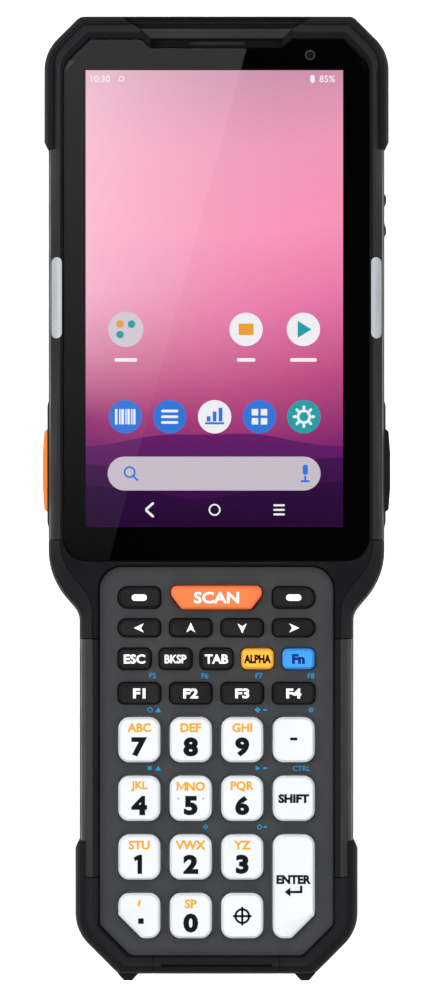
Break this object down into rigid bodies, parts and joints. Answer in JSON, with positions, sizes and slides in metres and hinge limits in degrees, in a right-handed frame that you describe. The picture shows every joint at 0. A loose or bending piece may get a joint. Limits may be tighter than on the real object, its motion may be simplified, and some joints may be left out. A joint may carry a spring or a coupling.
{
  "type": "portable barcode data terminal",
  "caption": "Rugged handheld barcode terminal with a tall glass display over a full number and function key pad, side triggers and rubber bumpers.",
  "frame": {"origin": "on the table, under the middle of the terminal, which lies on its back", "axes": "+Z out of the display, +Y towards the scanner end, +X to the right of the display"},
  "size_m": [0.0732, 0.203, 0.0292],
  "materials": {
    "housing_plastic": "fine satin grain",
    "frame_plastic": "satin, soft sheen on the edges",
    "bumper_rubber": "matt moulded rubber",
    "plate_plastic": "matt dark grey",
    "bar_plastic": "slightly glossy dark grey",
    "cover_glass": "clear, black border behind",
    "display_stack": "lit picture",
    "white_keys": "satin off-white",
    "black_keys": "satin black",
    "orange_keys": "satin orange",
    "amber_keys": "satin amber",
    "blue_keys": "satin blue",
    "mat_rubber": "silicone rubber",
    "board": "solder mask",
    "steel": "brushed",
    "smoked_window": "dark red tint",
    "light_pipe": "translucent grey",
    "engine_case": "matt black",
    "battery_label": "black shell"
  },
  "bodies": {
    "terminal": {"front_housing": "housing_plastic", "rear_housing": "housing_plastic", "head_bumper": "bumper_rubber", "foot_bumper": "bumper_rubber", "neck_guards": "bumper_rubber", "head_frame": "frame_plastic", "neck_bezel": "frame_plastic", "grip_rails": "frame_plastic", "earpiece_bar": "bar_plastic", "display_glass": "cover_glass", "display_module": "display_stack", "keypad_plate": "plate_plastic", "keymat": "mat_rubber", "keypad_board": "board", "main_board": "board", "scan_engine": "engine_case", "scan_window": "smoked_window", "front_camera": "engine_case", "loudspeaker": "engine_case", "battery_pack": "battery_label", "housing_screws": "steel", "light_pipes": "light_pipe", "usb_socket": "steel"},
    "battery_door": {"battery_door": "housing_plastic"},
    "battery_lock": {"battery_lock": "orange_keys"},
    "port_cover": {"port_cover": "bumper_rubber"},
    "trigger_left": {"trigger_left": "orange_keys"},
    "trigger_right": {"trigger_right": "black_keys"},
    "volume_rocker": {"volume_rocker": "housing_plastic"},
    "key_soft_left": {"key_soft_left": "black_keys"},
    "key_scan": {"key_scan": "orange_keys"},
    "key_soft_right": {"key_soft_right": "black_keys"},
    "key_arrow_left": {"key_arrow_left": "black_keys"},
    "key_arrow_up": {"key_arrow_up": "black_keys"},
    "key_arrow_down": {"key_arrow_down": "black_keys"},
    "key_arrow_right": {"key_arrow_right": "black_keys"},
    "key_esc": {"key_esc": "black_keys"},
    "key_backspace": {"key_backspace": "black_keys"},
    "key_tab": {"key_tab": "black_keys"},
    "key_alpha": {"key_alpha": "amber_keys"},
    "key_fn": {"key_fn": "blue_keys"},
    "key_f1": {"key_f1": "black_keys"},
    "key_f2": {"key_f2": "black_keys"},
    "key_f3": {"key_f3": "black_keys"},
    "key_f4": {"key_f4": "black_keys"},
    "key_7": {"key_7": "white_keys"},
    "key_8": {"key_8": "white_keys"},
    "key_9": {"key_9": "white_keys"},
    "key_minus": {"key_minus": "black_keys"},
    "key_4": {"key_4": "white_keys"},
    "key_5": {"key_5": "white_keys"},
    "key_6": {"key_6": "white_keys"},
    "key_shift": {"key_shift": "black_keys"},
    "key_1": {"key_1": "white_keys"},
    "key_2": {"key_2": "white_keys"},
    "key_3": {"key_3": "white_keys"},
    "key_enter": {"key_enter": "black_keys"},
    "key_point": {"key_point": "white_keys"},
    "key_0": {"key_0": "white_keys"},
    "key_locate": {"key_locate": "black_keys"}
  },
  "joints": [
    {"name": "door_hinge", "type": "hinge", "parent": "terminal", "child": "battery_door", "pos_m": [0, -0.0875, 0.0017], "axis": [-1, 0, 0], "range_deg": [0, 90]},
    {"name": "lock_slide", "type": "slide", "parent": "terminal", "child": "battery_lock", "axis": [0, -1, 0], "range_m": [0, 0.003]},
    {"name": "port_hinge", "type": "hinge", "parent": "terminal", "child": "port_cover", "pos_m": [0, -0.09925, 0.00905], "axis": [1, 0, 0], "range_deg": [0, 90]},
    {"name": "trigger_left_press", "type": "slide", "parent": "terminal", "child": "trigger_left", "axis": [1, 0, 0], "range_m": [0, 0.0006], "stiffness_N_per_m": 1500, "springref_m": -0.0004},
    {"name": "trigger_right_press", "type": "slide", "parent": "terminal", "child": "trigger_right", "axis": [-1, 0, 0], "range_m": [0, 0.0006], "stiffness_N_per_m": 1500, "springref_m": -0.0004},
    {"name": "rocker_tilt", "type": "hinge", "parent": "terminal", "child": "volume_rocker", "pos_m": [0.0342, 0.0596, 0.019], "axis": [0, 0, 1], "range_deg": [-3, 3], "stiffness_Nm_per_rad": 0.05},
    {"name": "key_soft_left_press", "type": "slide", "parent": "terminal", "child": "key_soft_left", "axis": [0, 0, -1], "range_m": [0, 0.0009], "stiffness_N_per_m": 800, "springref_m": -0.0004},
    {"name": "key_scan_press", "type": "slide", "parent": "terminal", "child": "key_scan", "axis": [0, 0, -1], "range_m": [0, 0.0009], "stiffness_N_per_m": 800, "springref_m": -0.0004},
    {"name": "key_soft_right_press", "type": "slide", "parent": "terminal", "child": "key_soft_right", "axis": [0, 0, -1], "range_m": [0, 0.0009], "stiffness_N_per_m": 800, "springref_m": -0.0004},
    {"name": "key_arrow_left_press", "type": "slide", "parent": "terminal", "child": "key_arrow_left", "axis": [0, 0, -1], "range_m": [0, 0.0009], "stiffness_N_per_m": 800, "springref_m": -0.0004},
    {"name": "key_arrow_up_press", "type": "slide", "parent": "terminal", "child": "key_arrow_up", "axis": [0, 0, -1], "range_m": [0, 0.0009], "stiffness_N_per_m": 800, "springref_m": -0.0004},
    {"name": "key_arrow_down_press", "type": "slide", "parent": "terminal", "child": "key_arrow_down", "axis": [0, 0, -1], "range_m": [0, 0.0009], "stiffness_N_per_m": 800, "springref_m": -0.0004},
    {"name": "key_arrow_right_press", "type": "slide", "parent": "terminal", "child": "key_arrow_right", "axis": [0, 0, -1], "range_m": [0, 0.0009], "stiffness_N_per_m": 800, "springref_m": -0.0004},
    {"name": "key_esc_press", "type": "slide", "parent": "terminal", "child": "key_esc", "axis": [0, 0, -1], "range_m": [0, 0.0009], "stiffness_N_per_m": 800, "springref_m": -0.0004},
    {"name": "key_backspace_press", "type": "slide", "parent": "terminal", "child": "key_backspace", "axis": [0, 0, -1], "range_m": [0, 0.0009], "stiffness_N_per_m": 800, "springref_m": -0.0004},
    {"name": "key_tab_press", "type": "slide", "parent": "terminal", "child": "key_tab", "axis": [0, 0, -1], "range_m": [0, 0.0009], "stiffness_N_per_m": 800, "springref_m": -0.0004},
    {"name": "key_alpha_press", "type": "slide", "parent": "terminal", "child": "key_alpha", "axis": [0, 0, -1], "range_m": [0, 0.0009], "stiffness_N_per_m": 800, "springref_m": -0.0004},
    {"name": "key_fn_press", "type": "slide", "parent": "terminal", "child": "key_fn", "axis": [0, 0, -1], "range_m": [0, 0.0009], "stiffness_N_per_m": 800, "springref_m": -0.0004},
    {"name": "key_f1_press", "type": "slide", "parent": "terminal", "child": "key_f1", "axis": [0, 0, -1], "range_m": [0, 0.0009], "stiffness_N_per_m": 800, "springref_m": -0.0004},
    {"name": "key_f2_press", "type": "slide", "parent": "terminal", "child": "key_f2", "axis": [0, 0, -1], "range_m": [0, 0.0009], "stiffness_N_per_m": 800, "springref_m": -0.0004},
    {"name": "key_f3_press", "type": "slide", "parent": "terminal", "child": "key_f3", "axis": [0, 0, -1], "range_m": [0, 0.0009], "stiffness_N_per_m": 800, "springref_m": -0.0004},
    {"name": "key_f4_press", "type": "slide", "parent": "terminal", "child": "key_f4", "axis": [0, 0, -1], "range_m": [0, 0.0009], "stiffness_N_per_m": 800, "springref_m": -0.0004},
    {"name": "key_7_press", "type": "slide", "parent": "terminal", "child": "key_7", "axis": [0, 0, -1], "range_m": [0, 0.0009], "stiffness_N_per_m": 800, "springref_m": -0.0004},
    {"name": "key_8_press", "type": "slide", "parent": "terminal", "child": "key_8", "axis": [0, 0, -1], "range_m": [0, 0.0009], "stiffness_N_per_m": 800, "springref_m": -0.0004},
    {"name": "key_9_press", "type": "slide", "parent": "terminal", "child": "key_9", "axis": [0, 0, -1], "range_m": [0, 0.0009], "stiffness_N_per_m": 800, "springref_m": -0.0004},
    {"name": "key_minus_press", "type": "slide", "parent": "terminal", "child": "key_minus", "axis": [0, 0, -1], "range_m": [0, 0.0009], "stiffness_N_per_m": 800, "springref_m": -0.0004},
    {"name": "key_4_press", "type": "slide", "parent": "terminal", "child": "key_4", "axis": [0, 0, -1], "range_m": [0, 0.0009], "stiffness_N_per_m": 800, "springref_m": -0.0004},
    {"name": "key_5_press", "type": "slide", "parent": "terminal", "child": "key_5", "axis": [0, 0, -1], "range_m": [0, 0.0009], "stiffness_N_per_m": 800, "springref_m": -0.0004},
    {"name": "key_6_press", "type": "slide", "parent": "terminal", "child": "key_6", "axis": [0, 0, -1], "range_m": [0, 0.0009], "stiffness_N_per_m": 800, "springref_m": -0.0004},
    {"name": "key_shift_press", "type": "slide", "parent": "terminal", "child": "key_shift", "axis": [0, 0, -1], "range_m": [0, 0.0009], "stiffness_N_per_m": 800, "springref_m": -0.0004},
    {"name": "key_1_press", "type": "slide", "parent": "terminal", "child": "key_1", "axis": [0, 0, -1], "range_m": [0, 0.0009], "stiffness_N_per_m": 800, "springref_m": -0.0004},
    {"name": "key_2_press", "type": "slide", "parent": "terminal", "child": "key_2", "axis": [0, 0, -1], "range_m": [0, 0.0009], "stiffness_N_per_m": 800, "springref_m": -0.0004},
    {"name": "key_3_press", "type": "slide", "parent": "terminal", "child": "key_3", "axis": [0, 0, -1], "range_m": [0, 0.0009], "stiffness_N_per_m": 800, "springref_m": -0.0004},
    {"name": "key_enter_press", "type": "slide", "parent": "terminal", "child": "key_enter", "axis": [0, 0, -1], "range_m": [0, 0.0009], "stiffness_N_per_m": 800, "springref_m": -0.0004},
    {"name": "key_point_press", "type": "slide", "parent": "terminal", "child": "key_point", "axis": [0, 0, -1], "range_m": [0, 0.0009], "stiffness_N_per_m": 800, "springref_m": -0.0004},
    {"name": "key_0_press", "type": "slide", "parent": "terminal", "child": "key_0", "axis": [0, 0, -1], "range_m": [0, 0.0009], "stiffness_N_per_m": 800, "springref_m": -0.0004},
    {"name": "key_locate_press", "type": "slide", "parent": "terminal", "child": "key_locate", "axis": [0, 0, -1], "range_m": [0, 0.0009], "stiffness_N_per_m": 800, "springref_m": -0.0004}
  ]
}
